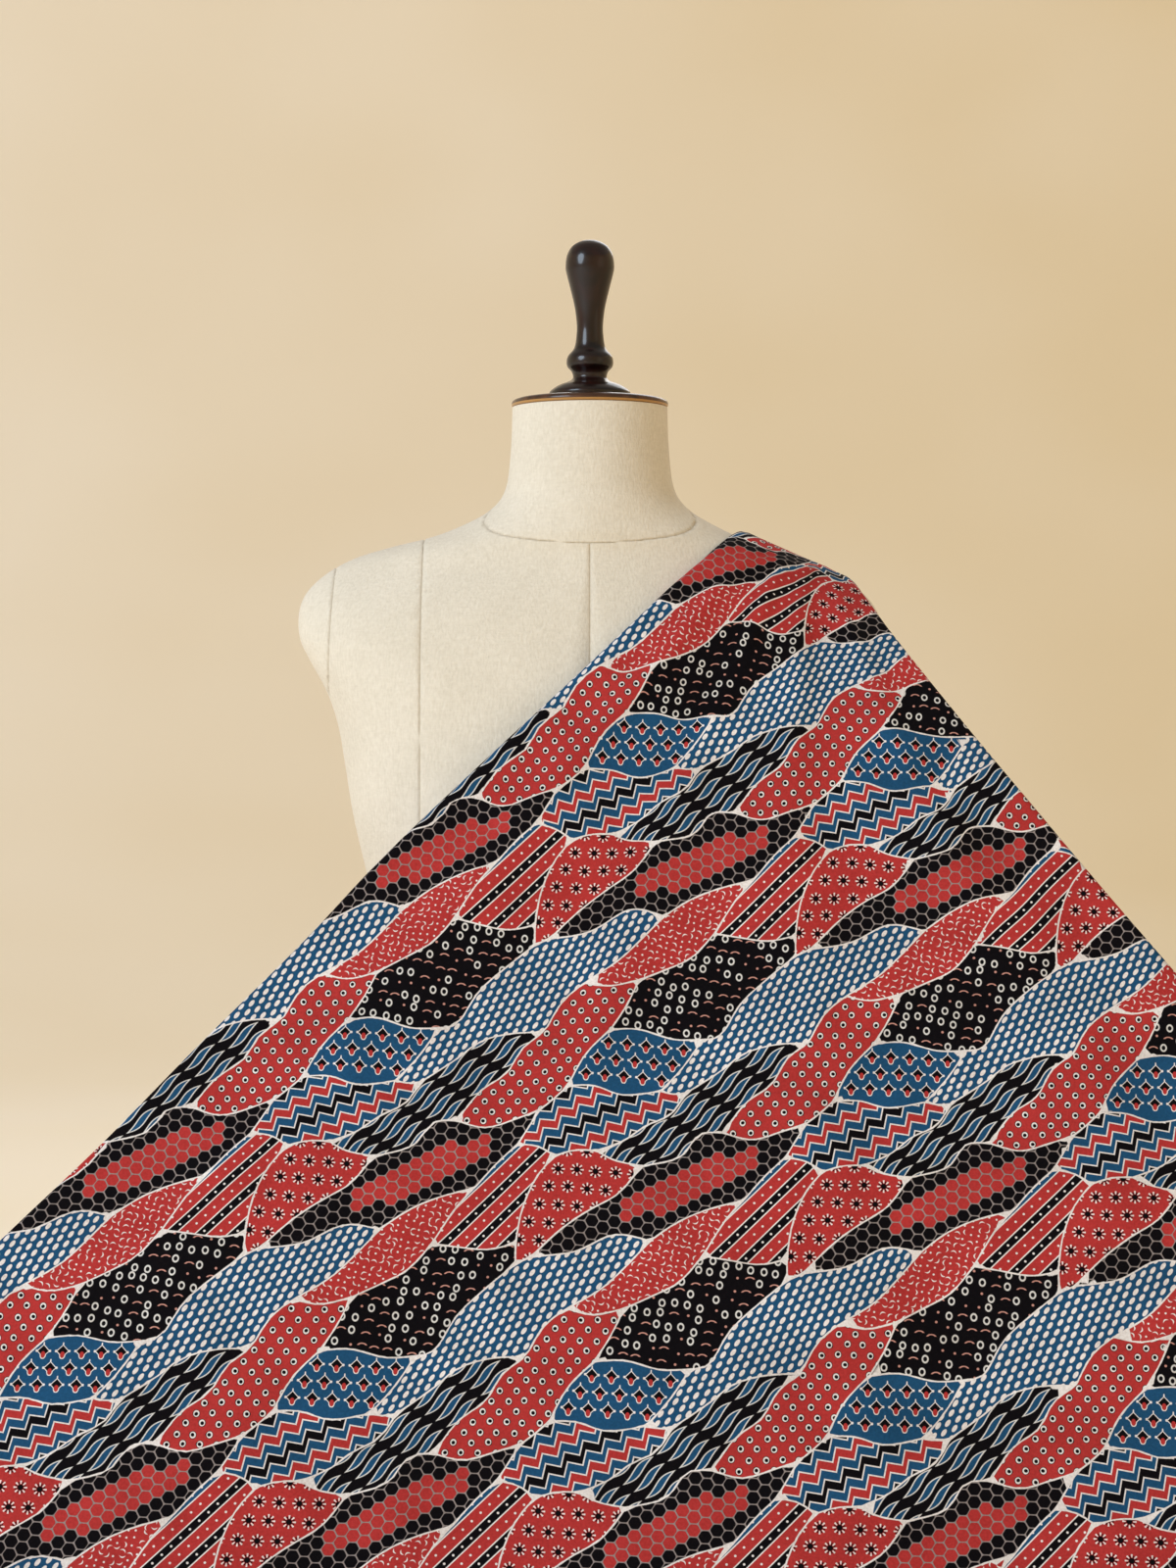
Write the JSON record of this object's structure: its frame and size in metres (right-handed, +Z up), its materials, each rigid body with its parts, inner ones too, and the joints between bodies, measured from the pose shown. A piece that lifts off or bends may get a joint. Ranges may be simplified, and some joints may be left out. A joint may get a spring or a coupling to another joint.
{
  "type": "ajrakh cotton fabric on a dress form",
  "caption": "Printed cotton cloth thrown over one shoulder of a tabletop dress form and spread to the floor like a tent, its end falling behind.",
  "frame": {"origin": "middle of the dress form's flat underside, on the surface it stands on", "axes": "+Z up the form, -Y towards the front of the cloth, +X towards the covered shoulder, which is the viewer's right"},
  "size_m": [1.33, 0.5475, 0.8679],
  "materials": {
    "printed_cotton": "matt, block printed in red, indigo and black with cream outlines",
    "cover_cotton": "matt, off-white plain weave",
    "plate_wood": "dark stained, worn at the rim",
    "finial_wood": "near-black gloss varnish"
  },
  "bodies": {
    "root": {"ajrakh_cloth": "printed_cotton", "form_body": "cover_cotton", "neck_plate": "plate_wood", "neck_finial": "finial_wood"}
  },
  "joints": []
}
